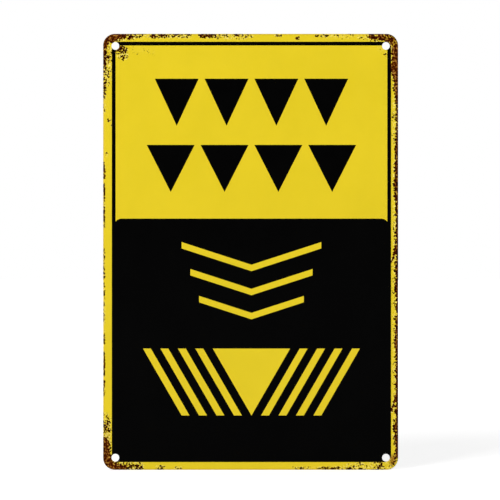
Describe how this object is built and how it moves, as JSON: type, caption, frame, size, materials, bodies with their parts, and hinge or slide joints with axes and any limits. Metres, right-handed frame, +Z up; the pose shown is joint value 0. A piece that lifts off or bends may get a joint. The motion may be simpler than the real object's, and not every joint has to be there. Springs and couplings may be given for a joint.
{
  "type": "tin wall sign",
  "caption": "Upright rectangular tin wall sign with rounded corners, an edge rolled to the back and screw holes in the corners; yellow and black printed face with rusted edges.",
  "frame": {"origin": "centre of the four screw holes, on the back face of the sheet", "axes": "+Z up, -Y out of the printed face, +X to the reader's right; +Y points to the wall"},
  "size_m": [0.203, 0.0025, 0.3],
  "materials": {
    "printed_tinplate": "satin"
  },
  "bodies": {
    "root": {"sign_plate": "printed_tinplate"}
  },
  "joints": []
}
